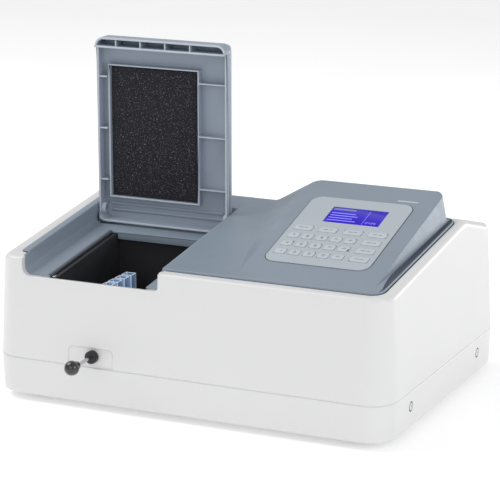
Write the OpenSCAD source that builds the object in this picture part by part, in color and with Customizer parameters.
// Bench spectrophotometer with a lidded sample compartment, a four-place
// cuvette carriage moved by a pull rod, and a sloping keypad console.
// +X is right, -Y is the front, +Z is up. The origin is on the table,
// under the middle of the whole outline.

/* [Casing] */
// Width of the casing
body_w = 460; // [458:1:470]
// Depth of the casing
body_d = 345; // [342:1:352]
// Radius of the upright corners
corner_r = 30; // [24:1:32]
// Height of the lower tray, without its feet
tray_h = 40; // [38:1:42]
// Wall thickness of both casing shells
wall = 3; // [2.6:0.1:3.2]
// Height of the rubber feet
foot_h = 8; // [5:1:15]
// Lean of the cover walls from upright, in degrees
draft = 2.9; // [2.7:0.1:3.1]

/* [Top] */
// Slope of the deck, rising to the rear, in degrees
deck_slope = 7.4; // [7.3:0.1:7.5]
// Slope of the keypad console, in degrees
console_slope = 15.3; // [15:0.1:15.6]
// Thickness of the grey top panel
panel_t = 2.4; // [2.2:0.1:2.5]

/* [Sample compartment] */
// Spacing of the cuvette places
cuvette_pitch = 16; // [15:0.5:16]
// Outside width of a square cuvette
cuvette_w = 12.5; // [12:0.1:12.5]
// Height of a cuvette
cuvette_h = 45; // [40:1:48]
// Radius of the pull rod
rod_r = 2; // [1.8:0.1:2.5]
// Radius of the ball on the pull rod
ball_r = 8; // [7:0.5:9]

/* [Keypad] */
// Spacing of the small keys across the plate
key_pitch = 16.2; // [15.8:0.1:16.4]
// Spacing of the key rows up the plate
row_pitch = 17.8; // [16.5:0.1:18]
// Height of the key tops above the plate
key_rise = 0.8; // [0.4:0.1:1.5]

/* [Hidden] */
$fn = 64;
eps = 0.01;
fit_gap = 0.05;

// Whole outline: from the ball's front to the casing's rear
ball_y = -44;
outline_front = ball_y - ball_r;
shift_y = -(body_d + outline_front) / 2;

// Cover: wall lean, roof line and the deck plane above it
cover_top = 215;
lean = tan(draft);
cover_inset = (cover_top - tray_h) * lean;
seam_h = 1.2;
seam_in = 0.9;
deck_front_y = 10;
deck_front_z = 153.5;
deck_tan = tan(deck_slope);
ridge_y = 246;
roof_rear_z = 155;
function deck_z(y) = deck_front_z + (y - deck_front_y) * deck_tan;
function roof_z(y) = deck_z(y) - panel_t;

// Trough under the lid
trough_x0 = 36.8;
trough_x1 = 199.4;
trough_t = 2;
trough_y0 = 13;
trough_y1 = 203.5;
ledge_drop = 21.3;
ledge_t = 2.4;
well_y = 172;
well_drop = 31;
lip_t = 2;
lip_h = 6.4;
cove_r = 9;
sill_t = 3;
notch_z = 131.6;
strip_x = 28;
strip_y = 22;
deck_x1 = 444;
border_x0 = 18;
border_x1 = 446.5;
deck_y0 = 16.5;
deck_y1 = 241.5;
deck_r = 14;
mouth = [67, 8, 181.5, 152];

// Lid, seen in its open place; its hinge line is the local origin
hinge_y = 186;
hinge_z = 168.3;
hinge_pin_r = 2.5;
lid_x0 = 37.8;
lid_x1 = 198.4;
lid_back = 8;
lid_rim = -12.5;
lid_side_rim = -8.3;
lid_foot = -13.5;
lid_tip = 197;
lid_t = 2.5;
lid_r = 10;
lid_chamfer = 4;
lid_cove = 8;
boss_z = 185.5;
foam_x0 = 49;
foam_x1 = 162;
foam_z0 = 13.5;
foam_z1 = 166;
foam_rim = 1.8;
foam_front = 0;
frame_front = -3;

// Chamber, carriage and beam
chamber_t = 3;
chamber_x0 = 74;
chamber_x1 = 181;
chamber_y0 = 12.8;
chamber_y1 = 158;
bench_z0 = 34;
bench_z1 = 38;
beam_y = 92;
beam_z = 85;
beam_r = 5;
places = 4;
cuvette_x = 103;
first_y = beam_y - cuvette_pitch;
seat_z = 66.8;
holder_top = 92;
holder_wall = 2.5;
pocket_gap = 0.2;
carriage_z0 = 45;
carriage_z1 = 57;
carriage_x0 = 80;
carriage_x1 = 132;
guide_r = 2.5;
guide_z = 50;
guide_xs = [87, 113];
rod_x = 123.3;
rod_z = 52.6;
carriage_y0 = first_y - cuvette_w / 2 - holder_wall - pocket_gap;
carriage_y1 = first_y + (places - 1) * cuvette_pitch + cuvette_w / 2 + holder_wall + pocket_gap;

// Console and keypad, measured along the console face
console_y0 = 38;
console_y1 = 240;
console_x0 = 279;
console_x1 = 431.5;
console_t = 2.5;
console_side = 60;
console_r = 14;
plate_x0 = 293.5;
plate_w = 117.5;
plate_u0 = 23.5;
plate_l = 146.5;
plate_r = 13;
plate_t = 1.6;
plate_in = 1.2;
screen_x0 = 324;
screen_w = 64;
screen_u0 = 116;
screen_l = 34.6;
key_w = 12.4;
key_l = 10;
wide_w = 20.5;
key_r = 1.6;
key_gap = 0.35;
key_collar = 1;
key_depth = 6;
first_key_x = 305.8;
first_row_u = 44.7;
wide_key_x = 394.4;
menu_key_x = 310.2;
menu_pitch = 28.2;
board_top = -7.2;
board_l = 77;

// Monochromator
mono_x0 = 186;
mono_x1 = 332;
mono_y0 = 62;
mono_y1 = 218;
mono_z1 = 118;
mono_t = 3;
grating_x = 285;
grating_y = 140;
gear_teeth = 60;
pinion_teeth = 15;
gear_module = 1;
gear_z = 60;
gear_h = 5;
gear_gap = 0.06;
shaft_r = 4;
pinion_x = grating_x - gear_module * (gear_teeth + pinion_teeth) / 2;
motor_w = 28;
motor_h = 16;
lamp_x = 380;
lamp_y = 190;

// Rear panel
panel_y = body_d - 16;
rear_x0 = 250;
rear_x1 = 420;
rear_z0 = 56;
rear_z1 = 124;
inlet_x = 285;
inlet_z = 88;
switch_x = 322;
switch_z = 88;
rocker_w = 13;
rocker_h = 20;
rocker_tilt = 8;
port_x = 398;
port_z = 78;

screw_ys = [67.5, 275.8];
screw_z = 23.6;

SMALL_KEYS = ["key_1", "key_2", "key_3", "key_4", "key_5", "key_6", "key_7", "key_8",
    "key_9", "key_10", "key_11", "key_12", "key_13", "key_14", "key_15"];

// Moves a piece from casing coordinates to the part's own frame
module placed() {
    translate([-body_w / 2, shift_y, foot_h])
        children();
}

// A side view (Y across, Z up) pushed along X
module side_view(x0, x1) {
    translate([x0, 0, 0])
        rotate([90, 0, 90])
            linear_extrude(x1 - x0)
                children();
}

// A front view (X across, Z up) pushed along Y
module front_view(y0, y1) {
    translate([0, y1, 0])
        rotate([90, 0, 0])
            linear_extrude(y1 - y0)
                children();
}

// A flat rectangle with four round corners
module round_rect(w, l, r) {
    translate([r, 0])
        square([w - 2 * r, l]);
    translate([0, r])
        square([w, l - 2 * r]);
    for (x = [r, w - r])
        for (y = [r, l - r])
            translate([x, y])
                circle(r);
}

// A box with round upright corners whose walls lean inwards
module leaning_box(x0, y0, x1, y1, z0, z1, in0, in1, r) {
    for (x = [x0 + r, x1 - r])
        for (y = [y0 + r, y1 - r])
            translate([x, y, z0])
                cylinder(h = z1 - z0, r1 = r - in0, r2 = r - in1);
    side_view(x0 + r, x1 - r)
        polygon([[y0 + in0, z0], [y1 - in0, z0], [y1 - in1, z1], [y0 + in1, z1]]);
    front_view(y0 + r, y1 - r)
        polygon([[x0 + in0, z0], [x1 - in0, z0], [x1 - in1, z1], [x0 + in1, z1]]);
}

// Everything under the roof line, lowered by a distance
module under_roof(drop) {
    side_view(-20, body_w + 20)
        polygon([
            [-20, -20],
            [body_d + 20, -20],
            [body_d + 20, roof_rear_z - drop - 5],
            [body_d, roof_rear_z - drop],
            [ridge_y, roof_z(ridge_y) - drop],
            [-20, roof_z(-20) - drop]
        ]);
}

// A slab that follows the deck slope, between two drops below the deck
module deck_slab(x0, x1, y0, y1, drop0, drop1) {
    side_view(x0, x1)
        polygon([
            [y0, deck_z(y0) - drop1],
            [y1, deck_z(y1) - drop1],
            [y1, deck_z(y1) - drop0],
            [y0, deck_z(y0) - drop0]
        ]);
}

// Local frame of the console face: X across, Y up the face, Z out of it
module on_console() {
    translate([0, console_y0, deck_z(console_y0)])
        rotate([console_slope, 0, 0])
            children();
}

module base_tray() {
    color("white") placed() difference() {
        union() {
            difference() {
                leaning_box(0, 0, body_w, body_d, 0, tray_h, 1.5, 0, corner_r);
                leaning_box(wall, wall, body_w - wall, body_d - wall, wall, tray_h + 1,
                    1.4, 0, corner_r - wall);
            }
            for (x = [60, body_w - 60])
                for (y = [45, 295])
                    translate([x, y, wall - eps])
                        cylinder(h = bench_z0 - wall + eps, r = 6);
            for (y = screw_ys)
                for (x = [wall - 1.5, body_w - wall - 2])
                    translate([x, y - 9, screw_z - 9])
                        cube([3.5, 18, 18]);
        }
        for (y = screw_ys)
            translate([-1, y, screw_z])
                rotate([0, 90, 0])
                    cylinder(h = body_w + 2, r = 2.2);
        for (y = screw_ys)
            for (x = [-1, body_w - 2.8])
                translate([x, y, screw_z])
                    rotate([0, 90, 0])
                        cylinder(h = 3.8, r = 5.6);
        for (x = [42, body_w - 42])
            for (y = [42, body_d - 42])
                translate([x, y, -1])
                    cylinder(h = wall + 2, r = 3.1);
        for (i = [0 : 9])
            translate([250 + i * 12, 250, -1])
                cube([5, 50, wall + 2]);
    }
}

module cover_shell() {
    intersection() {
        union() {
            leaning_box(0, 0, body_w, body_d, tray_h + seam_h, cover_top,
                0, cover_inset, corner_r);
            leaning_box(0, 0, body_w, body_d, tray_h, tray_h + seam_h + eps,
                seam_in, seam_in, corner_r);
        }
        under_roof(0);
    }
}

module cover_hollow() {
    intersection() {
        leaning_box(wall, wall, body_w - wall, body_d - wall, tray_h - 1, cover_top,
            0, cover_inset, corner_r - wall);
        under_roof(wall);
    }
}

// Front opening that the closed lid's front edge passes through
module notch_outline() {
    translate([trough_x0, notch_z])
        round_rect(trough_x1 - trough_x0, 60, cove_r);
}

module top_cover() {
    color("white") placed() difference() {
        union() {
            difference() {
                cover_shell();
                cover_hollow();
            }
            translate([90, 2.6, tray_h])
                cube([62, 4, 25]);
            intersection() {
                translate([trough_x0 - sill_t, 2, notch_z - sill_t])
                    cube([trough_x1 - trough_x0 + 2 * sill_t, trough_y0 - 2.3, 40]);
                cover_shell();
            }
            intersection() {
                translate([rear_x0 - 8, panel_y + 2, rear_z0 - 8])
                    cube([rear_x1 - rear_x0 + 16, 30, rear_z1 - rear_z0 + 16]);
                cover_shell();
            }
            for (y = screw_ys)
                for (x = [wall + 2.2, body_w - wall - 7.2])
                    translate([x, y - 8, screw_z - 8])
                        cube([5, 16, 30]);
            for (y = screw_ys)
                for (x = [wall - 0.5, body_w - wall - 7.2])
                    translate([x, y - 8, tray_h + 2])
                        cube([7.7, 16, 4]);
        }
        front_view(-1, trough_y0 + 1)
            notch_outline();
        translate([trough_x0 - trough_t - 0.3, trough_y0 - 0.3, 120])
            cube([trough_x1 - trough_x0 + 2 * trough_t + 0.6, trough_y1 + trough_t - trough_y0 + 0.6, 100]);
        translate([mouth[0] - 0.3, 8.6, 120])
            cube([chamber_x1 + chamber_t - mouth[0] + 0.6, trough_y0 - 8, 80]);
        translate([212, 32, 120])
            cube([218, 196, 100]);
        translate([border_x1, 0, roof_z(0)])
            rotate([deck_slope, 0, 0])
                rotate([0, 30, 0])
                    translate([0, -30, 0])
                        cube([60, 420, 40]);
        translate([border_x0, 0, roof_z(0)])
            rotate([deck_slope, 0, 0])
                rotate([0, -22, 0])
                    translate([-60, -30, 0])
                        cube([60, 420, 40]);
        front_view(-2, 2)
            intersection() {
                translate([94, tray_h - 8])
                    round_rect(53.5, 29.5, 5);
                translate([90, tray_h - 2])
                    square([60, 30]);
            }
        translate([rod_x, -1, rod_z])
            rotate([-90, 0, 0])
                cylinder(h = 12, r = 4.1);
        translate([rear_x0, panel_y, rear_z0])
            cube([rear_x1 - rear_x0, 40, rear_z1 - rear_z0]);
        for (y = screw_ys)
            translate([0, y, screw_z])
                rotate([0, 90, 0])
                    cylinder(h = body_w, r = 1.75);
    }
}

// The console as a solid, shrunk by a wall thickness when hollow
module console_solid(t) {
    rise = tan(console_slope);
    front = console_y0 + 10 * t;
    rear = console_y1 - t;
    sink = t > 0 ? 10 : panel_t;
    difference() {
        side_view(200, 445)
            polygon([
                [front, deck_z(front) - sink],
                [rear, deck_z(rear) - sink],
                [rear, deck_z(console_y0) + (rear - console_y0) * rise - t],
                [front, deck_z(console_y0) + (front - console_y0) * rise - t]
            ]);
        on_console()
            translate([console_x0, 0, -t])
                rotate([0, -console_side, 0])
                    translate([-200, -60, 0])
                        cube([200, 400, 100]);
        on_console()
            translate([console_x1 - t, 0, 0])
                rotate([0, -11, 0])
                    translate([0, -60, -100])
                        cube([60, 400, 200]);
        translate([console_x1 + 5 - t - console_r, rear - console_r, 100])
            difference() {
                cube([40, 40, 150]);
                cylinder(h = 150, r = console_r);
                translate([-console_r, -console_r, 0])
                    cube([console_r, 2 * console_r, 150]);
            }
    }
}

module deck_outline() {
    intersection() {
        union() {
            translate([trough_x1, deck_y0])
                round_rect(deck_x1 - trough_x1, deck_y1 - deck_y0, deck_r);
            translate([trough_x1, deck_y0])
                square([40, deck_y1 - deck_y0]);
            translate([strip_x, strip_y])
                square([trough_x0 - strip_x, deck_y1 - strip_y]);
            translate([strip_x, trough_y1])
                square([trough_x1 - strip_x + 10, deck_y1 - trough_y1]);
        }
        translate([strip_x, deck_y0])
            round_rect(deck_x1 - strip_x, deck_y1 - deck_y0, 4);
    }
}

// Grey moulding: deck, console and the trough that the lid closes on
module top_panel() {
    color("lightsteelblue") placed() difference() {
        union() {
            intersection() {
                translate([0, 0, 100])
                    linear_extrude(150)
                        deck_outline();
                deck_slab(0, body_w, -10, body_d, 0, panel_t);
            }
            console_solid(0);
            deck_slab(trough_x0 - trough_t, trough_x1 + trough_t, trough_y0, well_y,
                panel_t, ledge_drop + ledge_t);
            deck_slab(trough_x0 - trough_t, trough_x1 + trough_t, well_y - 2, trough_y1 + trough_t,
                panel_t, well_drop + ledge_t);
            deck_slab(chamber_x0 + 1, chamber_x1 - 1, mouth[3], mouth[3] + lip_t,
                ledge_drop, ledge_drop + ledge_t + lip_h);
        }
        difference() {
            deck_slab(trough_x0, trough_x1, trough_y0 - 1, well_y + 2, -5, ledge_drop);
            on_trough_edge(trough_x0, 1);
            on_trough_edge(trough_x1, -1);
        }
        deck_slab(trough_x0, trough_x1, well_y, trough_y1, -5, well_drop);
        translate([mouth[0], mouth[1], 100])
            cube([mouth[2] - mouth[0], mouth[3] - mouth[1], 60]);
        console_solid(console_t);
        on_console()
            translate([plate_x0 - 0.3, plate_u0 - 0.3, -plate_in])
                linear_extrude(10)
                    round_rect(plate_w + 0.6, plate_l + 0.6, plate_r);
        on_console()
            translate([plate_x0 + 3.5, plate_u0 + 6, -8])
                cube([plate_w - 7, plate_l - 12, 10]);
        translate([0, hinge_y, hinge_z])
            rotate([0, 90, 0])
                cylinder(h = body_w / 2, r = hinge_pin_r);
    }
}

// Round root between a trough wall and its ledge
module on_trough_edge(x, side) {
    y0 = trough_y0 - 2;
    difference() {
        deck_slab(min(x, x + side * cove_r) - eps, max(x, x + side * cove_r) + eps,
            y0, well_y, ledge_drop - cove_r, ledge_drop + eps);
        translate([x + side * cove_r, y0 - 10, deck_z(y0 - 10) - ledge_drop + cove_r])
            rotate([deck_slope - 90, 0, 0])
                cylinder(h = well_y + 40, r = cove_r + 0.3);
    }
}

module on_hinge() {
    translate([0, hinge_y, hinge_z])
        children();
}

module lid_outline(inset) {
    translate([lid_x0 + inset, lid_foot + inset])
        round_rect(lid_x1 - lid_x0 - 2 * inset, lid_tip - lid_foot - 2 * inset, lid_r - inset);
}

module lid_shell() {
    difference() {
        front_view(lid_rim, lid_back)
            lid_outline(0);
        front_view(lid_rim - 1, lid_back - lid_t)
            lid_outline(lid_t);
        for (side = [0, 1])
            translate([side ? lid_x1 : lid_x0, lid_back - lid_chamfer, -50])
                rotate([0, 0, side ? -45 : 45])
                    translate([-30, 0, 0])
                        cube([60, 30, 300]);
        translate([0, lid_back - lid_chamfer, lid_tip])
            rotate([-45, 0, 0])
                translate([0, -20, 0])
                    cube([body_w, 60, 30]);
        for (x = [lid_x0 - 1, lid_x1 - lid_t])
            translate([x, lid_rim - 1, -60])
                cube([lid_t + 1, lid_side_rim - lid_rim + 1, boss_z + 60.5]);
    }
}

// Hollow root along one side wall inside the lid
module lid_root(x, side) {
    y = lid_back - lid_t;
    difference() {
        translate([min(x, x + side * lid_cove) - eps, y - lid_cove, -8])
            cube([lid_cove + 2 * eps, lid_cove + eps, boss_z + 9]);
        translate([x + side * lid_cove, y - lid_cove, -9])
            cylinder(h = boss_z + 20, r = lid_cove + 0.4);
    }
}

module lid() {
    color("lightsteelblue") placed() on_hinge() difference() {
        union() {
            lid_shell();
            lid_root(lid_x0 + lid_t, 1);
            lid_root(lid_x1 - lid_t, -1);
            translate([lid_x0 + 0.4, lid_rim - 2.8, boss_z])
                cube([lid_x1 - lid_x0 - 0.8, lid_back - lid_t - lid_rim + 2.8, 2.2]);
            for (i = [0 : 3])
                translate([63 + i * 30.5, lid_rim + 0.4, boss_z + 1.5])
                    cube([1.8, lid_back - lid_t - lid_rim, 8.4]);
            difference() {
                translate([foam_x0, frame_front, foam_z0])
                    cube([foam_x1 - foam_x0, lid_back - lid_t - frame_front + eps, foam_z1 - foam_z0]);
                translate([foam_x0 + foam_rim, frame_front - 1, foam_z0 + foam_rim])
                    cube([foam_x1 - foam_x0 - 2 * foam_rim, 30, foam_z1 - foam_z0 - 2 * foam_rim]);
            }
            for (z = [33.5, 92.5, 151])
                translate([lid_x0 + lid_t - eps, -7, z])
                    cube([foam_x0 - lid_x0 - lid_t + 0.5, lid_back - lid_t + 7 + eps, 1.8]);
            for (z = [31.5, 91, 150.5])
                translate([foam_x1 - 0.5, -4, z])
                    cube([lid_x1 - lid_t - foam_x1 + 0.5 + eps, lid_back - lid_t + 4 + eps, 1.8]);
            for (z = [-2, 5])
                translate([lid_x0 + lid_t + lid_cove, lid_back - lid_t, z])
                    rotate([0, 90, 0])
                        cylinder(h = lid_x1 - lid_x0 - 2 * (lid_t + lid_cove), r = 1.8);
            for (x = [lid_x0 + 0.5, lid_x1 - 6.5])
                translate([x, 0, 0])
                    rotate([0, 90, 0])
                        cylinder(h = 6, r = 6.5);
        }
        rotate([0, 90, 0])
            cylinder(h = body_w, r = hinge_pin_r + fit_gap);
    }
}

module lid_foam() {
    color("dimgray") placed() on_hinge()
        translate([foam_x0 + foam_rim, foam_front, foam_z0 + foam_rim])
            cube([foam_x1 - foam_x0 - 2 * foam_rim, lid_back - lid_t - foam_front,
                foam_z1 - foam_z0 - 2 * foam_rim]);
}

module hinge_pins() {
    color("silver") placed() on_hinge()
        for (x = [trough_x0 - trough_t, lid_x1 - 6])
            translate([x, 0, 0])
                rotate([0, 90, 0])
                    cylinder(h = 9, r = hinge_pin_r);
}

module sample_chamber() {
    t = chamber_t;
    top = ledge_drop + ledge_t;
    color("black") placed() difference() {
        union() {
            side_view(chamber_x0 - t, chamber_x1 + t)
                polygon([
                    [chamber_y0 - t, bench_z1],
                    [chamber_y1 + t, bench_z1],
                    [chamber_y1 + t, deck_z(chamber_y1 + t) - top],
                    [chamber_y0 - t, deck_z(chamber_y0 - t) - top]
                ]);
            deck_slab(57, chamber_x1 + 6, trough_y0 + 0.3, chamber_y1 + 5, top, top + 2.4);
        }
        translate([chamber_x0, chamber_y0, bench_z1 + t])
            cube([chamber_x1 - chamber_x0, chamber_y1 - chamber_y0, 200]);
        translate([chamber_x0 - 10, beam_y, beam_z])
            rotate([0, 90, 0])
                cylinder(h = 130, r = beam_r);
        translate([rod_x, chamber_y0 - 10, rod_z])
            rotate([-90, 0, 0])
                cylinder(h = 20, r = rod_r + 0.6);
    }
}

module guide_rods() {
    color("silver") placed()
        for (x = guide_xs)
            translate([x, chamber_y0, guide_z])
                rotate([-90, 0, 0])
                    cylinder(h = chamber_y1 - chamber_y0, r = guide_r);
}

module carriage() {
    half = cuvette_w / 2 + holder_wall + pocket_gap;
    color("dimgray") placed() difference() {
        union() {
            translate([carriage_x0, carriage_y0, carriage_z0])
                cube([carriage_x1 - carriage_x0, carriage_y1 - carriage_y0, carriage_z1 - carriage_z0]);
            translate([cuvette_x - half, carriage_y0, carriage_z1 - eps])
                cube([2 * half, carriage_y1 - carriage_y0, holder_top - carriage_z1 + eps]);
        }
        for (i = [0 : places - 1])
            translate([cuvette_x, first_y + i * cuvette_pitch, 0]) {
                translate([-cuvette_w / 2 - pocket_gap, -cuvette_w / 2 - pocket_gap, seat_z])
                    cube([cuvette_w + 2 * pocket_gap, cuvette_w + 2 * pocket_gap, 60]);
                translate([-20, 0, beam_z])
                    rotate([0, 90, 0])
                        cylinder(h = 40, r = 3.5);
            }
        for (x = guide_xs)
            translate([x, 0, guide_z])
                rotate([-90, 0, 0])
                    cylinder(h = 200, r = guide_r + fit_gap);
        translate([rod_x, 0, rod_z])
            rotate([-90, 0, 0])
                cylinder(h = carriage_y0 + 14, r = rod_r);
    }
}

module pull_rod() {
    color("silver") placed()
        translate([rod_x, ball_y + 2, rod_z])
            rotate([-90, 0, 0])
                cylinder(h = carriage_y0 + 14 - ball_y - 2, r = rod_r);
}

module pull_ball() {
    color("black") placed() difference() {
        union() {
            translate([rod_x, ball_y, rod_z])
                sphere(ball_r);
            translate([rod_x, ball_y, rod_z])
                rotate([-90, 0, 0])
                    cylinder(h = 12, r = 4.6);
        }
        translate([rod_x, ball_y + 2, rod_z])
            rotate([-90, 0, 0])
                cylinder(h = 40, r = rod_r);
    }
}

module rod_bushing() {
    color("black") placed()
        translate([rod_x, 2, rod_z])
            rotate([-90, 0, 0])
                difference() {
                    union() {
                        translate([0, 0, -6])
                            cylinder(h = 6, r = 7);
                        translate([0, 0, -eps])
                            cylinder(h = 7.7, r = 4);
                        translate([0, 0, 4.65])
                            cylinder(h = 2.6, r = 7, $fn = 6);
                    }
                    translate([0, 0, -10])
                        cylinder(h = 40, r = rod_r + fit_gap);
                }
}

module cuvette(i) {
    w = cuvette_w;
    glass = 1.25;
    color("lightblue") placed()
        translate([cuvette_x, first_y + (i - 1) * cuvette_pitch, seat_z])
            difference() {
                translate([-w / 2, -w / 2, 0])
                    cube([w, w, cuvette_h]);
                translate([-w / 2 + glass, -w / 2 + glass, 1.6])
                    cube([w - 2 * glass, w - 2 * glass, cuvette_h]);
            }
}

// Key places on the console face: [x, y, width]
function small_key(i) =
    [first_key_x + (i % 5) * key_pitch, first_row_u + (2 - floor(i / 5)) * row_pitch, key_w];
function wide_key(i) = [wide_key_x, first_row_u + (2 - i) * row_pitch, wide_w];
function menu_key(i) = [menu_key_x + i * menu_pitch, first_row_u + 3 * row_pitch, wide_w];
ALL_KEYS = concat(
    [for (i = [0 : 14]) small_key(i)],
    [for (i = [0 : 2]) wide_key(i)],
    [for (i = [0 : 3]) menu_key(i)]
);

module key_cap(place) {
    w = place[2];
    face = plate_t - plate_in;
    color("gainsboro") placed() on_console()
        translate([place[0], place[1], face]) {
            translate([-w / 2, -key_l / 2, -plate_t - 0.2])
                linear_extrude(plate_t + 0.2 + key_rise)
                    round_rect(w, key_l, key_r);
            translate([-w / 2 - 0.8, -key_l / 2 - 0.8, -plate_t - key_collar - fit_gap])
                cube([w + 1.6, key_l + 1.6, key_collar]);
            translate([0, 0, -key_depth])
                cylinder(h = key_depth - plate_t, r = 2.6);
        }
}

module keypad_plate() {
    color("silver") placed() on_console()
        translate([0, 0, -plate_in])
            difference() {
                translate([plate_x0, plate_u0, 0])
                    linear_extrude(plate_t)
                        round_rect(plate_w, plate_l, plate_r);
                for (place = ALL_KEYS)
                    translate([place[0] - place[2] / 2 - key_gap, place[1] - key_l / 2 - key_gap, -1])
                        linear_extrude(plate_t + 2)
                            round_rect(place[2] + 2 * key_gap, key_l + 2 * key_gap, key_r + key_gap);
                translate([screen_x0, screen_u0, -1])
                    cube([screen_w, screen_l, plate_t + 2]);
            }
}

module display_window() {
    color("blue") placed() on_console()
        translate([screen_x0 + 0.15, screen_u0 + 0.15, -plate_in])
            cube([screen_w - 0.3, screen_l - 0.3, plate_t - 0.3]);
}

module display_module() {
    color("darkslategray") placed() on_console()
        translate([screen_x0 - 6, screen_u0 - 7, -plate_in - 6.5])
            cube([screen_w + 12, screen_l + 14, 6.5]);
}

module keypad_board() {
    color("green") placed() on_console() {
        translate([plate_x0 + 7, plate_u0 + 8, board_top - 1.6])
            cube([plate_w - 14, board_l, 1.6]);
        for (place = ALL_KEYS)
            translate([place[0], place[1], board_top - eps])
                cylinder(h = 0.7, r = 2.4);
        for (x = [plate_x0 + 7, plate_x0 + plate_w - 10])
            for (y = [plate_u0 + 8, plate_u0 + 4.5 + board_l])
                translate([x, y, board_top - eps])
                    cube([3, 3, -plate_in - board_top + eps]);
    }
}

module optical_bench() {
    color("lightgray") placed() {
        difference() {
            translate([30, 12, bench_z0])
                cube([body_w - 60, 304, bench_z1 - bench_z0]);
            for (x = [44, body_w - 44])
                for (y = [32, 304])
                    translate([x, y, bench_z0 - 1])
                        cylinder(h = 10, r = 2.5);
        }
        for (x = [200, 325])
            for (y = [245, 305])
                translate([x, y, bench_z1 - eps])
                    cylinder(h = 8, r = 3);
    }
}

module mono_housing() {
    t = mono_t;
    color("gray") placed() difference() {
        union() {
            translate([mono_x0, mono_y0, bench_z1])
                cube([mono_x1 - mono_x0, mono_y1 - mono_y0, mono_z1 - bench_z1]);
            translate([chamber_x1 + chamber_t, beam_y, beam_z])
                rotate([0, 90, 0])
                    cylinder(h = mono_x0 - chamber_x1 - chamber_t + eps, r = 9);
        }
        difference() {
            translate([mono_x0 + t, mono_y0 + t, bench_z1 + t])
                cube([mono_x1 - mono_x0 - 2 * t, mono_y1 - mono_y0 - 2 * t, 100]);
            translate([grating_x, grating_y, bench_z1])
                cylinder(h = 20, r = 8);
        }
        translate([grating_x, grating_y, bench_z1 + t])
            cylinder(h = 40, r = shaft_r + fit_gap);
        translate([chamber_x1, beam_y, beam_z])
            rotate([0, 90, 0])
                cylinder(h = 18, r = beam_r);
        translate([mono_x1 - 10, lamp_y, beam_z])
            rotate([0, 90, 0])
                cylinder(h = 20, r = beam_r);
    }
}

module mirrors() {
    color("silver") placed()
        for (place = [[196, lamp_y, 10], [320, beam_y, 195]])
            translate([place[0], place[1], bench_z1 + mono_t])
                rotate([0, 0, place[2]]) {
                    translate([-2, -10, 0])
                        cube([4, 20, 24]);
                    translate([-2, 0, beam_z - bench_z1 - mono_t])
                        rotate([0, 90, 0])
                            difference() {
                                cylinder(h = 6, r = 22);
                                translate([0, 0, 4.5])
                                    cylinder(h = 3, r1 = 12, r2 = 24);
                            }
                }
}

// One involute tooth flank point at a given radius
function involute(base_r, r) =
    let (a = sqrt(max(0, pow(r / base_r, 2) - 1)))
    a * 180 / PI - atan(a);

// A spur gear outline with true involute flanks
module gear_outline(teeth, m, gap) {
    pitch_r = teeth * m / 2;
    base_r = pitch_r * cos(20);
    tip_r = pitch_r + m;
    root_r = pitch_r - 1.25 * m;
    half = 90 / teeth - gap / pitch_r * 90 / PI + involute(base_r, pitch_r);
    radii = [for (i = [0 : 5]) max(base_r, root_r) + i * (tip_r - max(base_r, root_r)) / 5];
    circle(root_r);
    for (i = [0 : teeth - 1])
        rotate(i * 360 / teeth)
            polygon(concat(
                [[root_r - 0.4, -tan(half) * (root_r - 0.4)]],
                [for (r = radii) [r * cos(half - involute(base_r, r)), -r * sin(half - involute(base_r, r))]],
                [for (k = [5 : -1 : 0]) let (r = radii[k])
                    [r * cos(half - involute(base_r, r)), r * sin(half - involute(base_r, r))]],
                [[root_r - 0.4, tan(half) * (root_r - 0.4)]]
            ));
}

module grating_table() {
    color("goldenrod") placed()
        translate([grating_x, grating_y, 0]) {
            translate([0, 0, bench_z1 + mono_t])
                cylinder(h = 32, r = shaft_r);
            translate([0, 0, gear_z])
                linear_extrude(gear_h)
                    gear_outline(gear_teeth, gear_module, gear_gap);
            translate([0, 0, 72])
                cylinder(h = 3, r = 20);
        }
}

module grating() {
    color("lightcyan") placed()
        translate([grating_x - 15, grating_y - 4, 75])
            cube([30, 8, 26]);
}

module grating_motor() {
    w = motor_w;
    color("dimgray") placed()
        translate([pinion_x, grating_y, bench_z1 + mono_t]) {
            translate([-w / 2, -w / 2, 0])
                cube([w, w, motor_h]);
            cylinder(h = motor_h + 1.5, r = 6);
        }
}

module motor_pinion() {
    color("goldenrod") placed()
        translate([pinion_x, grating_y, 0]) {
            translate([0, 0, gear_z - 0.5])
                linear_extrude(gear_h + 1)
                    rotate(180 / pinion_teeth)
                        gear_outline(pinion_teeth, gear_module, gear_gap);
            translate([0, 0, bench_z1 + mono_t + motor_h + 1.55])
                cylinder(h = 9, r = 2);
        }
}

module lamp_housing() {
    color("darkgray") placed() difference() {
        translate([345, 155, bench_z1])
            cube([75, 70, 62]);
        translate([348, 158, bench_z1 + 3])
            cube([69, 64, 100]);
        translate([340, lamp_y, beam_z])
            rotate([0, 90, 0])
                cylinder(h = 20, r = beam_r + 1);
        for (i = [0 : 4])
            translate([352 + i * 13, 200, bench_z1 + 12])
                cube([6, 50, 40]);
    }
}

module lamp() {
    color("white") placed()
        translate([lamp_x, lamp_y, bench_z1 + 3]) {
            cylinder(h = 24, r = 11);
            translate([0, 0, 24 - eps])
                cylinder(h = 18, r = 5);
            translate([0, 0, 42])
                sphere(5);
        }
}

module detector() {
    color("dimgray") placed() difference() {
        union() {
            translate([34, beam_y - 18, bench_z1])
                cube([32, 36, 64]);
            translate([50, beam_y, beam_z])
                rotate([0, 90, 0])
                    cylinder(h = chamber_x0 - chamber_t - 50, r = 9);
        }
        translate([58, beam_y, beam_z])
            rotate([0, 90, 0])
                cylinder(h = 20, r = beam_r);
    }
}

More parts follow.
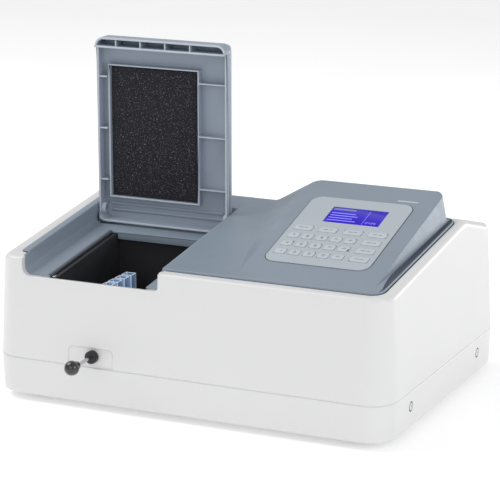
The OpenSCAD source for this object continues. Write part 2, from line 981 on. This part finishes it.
module main_board() {
    z = bench_z1 + 8;
    color("green") placed() {
        translate([192, 238, z])
            cube([141, 75, 1.6]);
        translate([225, 262, z + 1.6 - eps])
            cube([22, 22, 2.5]);
        translate([262, 262, z + 1.6 - eps])
            cube([14, 20, 2.5]);
        for (i = [0 : 3])
            translate([205 + i * 14, 298, z + 1.6 - eps])
                cylinder(h = 14, r = 5);
        translate([290, 250, z + 1.6 - eps])
            cube([10, 40, 9]);
    }
}

module power_supply() {
    color("darkkhaki") placed() {
        translate([345, 238, bench_z1])
            cube([82, 74, 3]);
        translate([352, 246, bench_z1 + 3 - eps])
            cube([44, 54, 40]);
        translate([400, 246, bench_z1 + 3 - eps])
            cube([6, 54, 28]);
        for (y = [256, 276, 296])
            translate([416, y, bench_z1 + 3 - eps])
                cylinder(h = 26, r = 8);
    }
}

module rear_panel() {
    color("darkgray") placed() difference() {
        translate([rear_x0 - 7, panel_y, rear_z0 - 7])
            cube([rear_x1 - rear_x0 + 14, 2, rear_z1 - rear_z0 + 14]);
        translate([inlet_x - 14, panel_y - 1, inlet_z - 10.5])
            cube([28, 4, 21]);
        translate([switch_x - 8, panel_y - 1, switch_z - 12])
            cube([16, 4, 24]);
        translate([port_x - 8, panel_y - 1, port_z - 7])
            cube([16, 4, 14]);
        for (i = [0 : 6])
            translate([346 + i * 6, panel_y - 1, 74])
                cube([3, 4, 34]);
    }
}

// Mains socket moulded together with the frame of the power switch
module power_inlet() {
    y = panel_y + 2;
    color("black") placed() difference() {
        union() {
            translate([inlet_x - 20, y, inlet_z - 15])
                cube([switch_x - inlet_x + 32, 3, 30]);
            translate([inlet_x - 13.9, y - 18, inlet_z - 10.4])
                cube([27.8, 18 + eps, 20.8]);
            translate([switch_x - 7.9, y - 14, switch_z - 11.9])
                cube([15.8, 14 + eps, 23.8]);
        }
        translate([inlet_x - 12, y - 15, inlet_z - 8])
            cube([24, 40, 16]);
        translate([switch_x - rocker_w / 2 - 0.4, y - 11, switch_z - rocker_h / 2 - 0.8])
            cube([rocker_w + 0.8, 40, rocker_h + 1.6]);
        translate([switch_x - 20, y + 0.5, switch_z])
            rotate([0, 90, 0])
                translate([0, 0, 12.5])
                    cylinder(h = 15, r = 1.05);
    }
    color("silver") placed()
        for (pin = [[-7, -1], [0, 2.5], [7, -1]])
            translate([inlet_x + pin[0] - 1, y - 15.5, inlet_z + pin[1] - 2])
                cube([2, 14, 4]);
}

module power_rocker() {
    w = rocker_w;
    h = rocker_h;
    color("black") placed()
        translate([switch_x, panel_y + 2.5, switch_z])
            rotate([rocker_tilt, 0, 0]) {
                side_view(-w / 2, w / 2)
                    polygon([[-5, -6], [-5, 6], [1.5, h / 2 - 1], [4.5, h / 2 - 1], [2.2, 0],
                        [4.5, -h / 2 + 1], [1.5, -h / 2 + 1]]);
                translate([-w / 2 - 1, 0, 0])
                    rotate([0, 90, 0])
                        cylinder(h = w + 2, r = 1);
            }
}

module data_port() {
    color("silver") placed() difference() {
        union() {
            translate([port_x - 7.9, panel_y - 12, port_z - 6.9])
                cube([15.8, 15.5, 13.8]);
            translate([port_x - 10, panel_y + 2, port_z - 9])
                cube([20, 1.2, 18]);
        }
        translate([port_x - 6, panel_y - 8, port_z - 5])
            cube([12, 20, 10]);
    }
}

module feet() {
    color("black") placed()
        for (x = [42, body_w - 42])
            for (y = [42, body_d - 42])
                translate([x, y, 0]) {
                    translate([0, 0, -foot_h])
                        cylinder(h = foot_h, r1 = 11, r2 = 12.5);
                    translate([0, 0, -eps])
                        cylinder(h = 6, r = 3);
                }
}

module side_screws() {
    color("silver") placed()
        for (y = screw_ys)
            for (side = [0, 1])
                translate([side ? body_w - 0.4 : 0.4, y, screw_z])
                    rotate([0, side ? -90 : 90, 0])
                        difference() {
                            union() {
                                cylinder(h = 2.4, r = 4.2);
                                cylinder(h = 9, r = 1.7);
                            }
                            translate([-2.6, -0.5, -1])
                                cube([5.2, 1, 1.9]);
                            translate([-0.5, -2.6, -1])
                                cube([1, 5.2, 1.9]);
                        }
}

base_tray();
top_cover();
top_panel();
lid();
lid_foam();
hinge_pins();
sample_chamber();
guide_rods();
carriage();
pull_rod();
pull_ball();
rod_bushing();
for (i = [1 : 4])
    cuvette(i);
keypad_plate();
display_window();
display_module();
keypad_board();
for (i = [0 : 14])
    key_cap(small_key(i));
for (i = [0 : 2])
    key_cap(wide_key(i));
for (i = [0 : 3])
    key_cap(menu_key(i));
optical_bench();
mono_housing();
mirrors();
grating_table();
grating();
grating_motor();
motor_pinion();
lamp_housing();
lamp();
detector();
main_board();
power_supply();
rear_panel();
power_inlet();
power_rocker();
data_port();
feet();
side_screws();
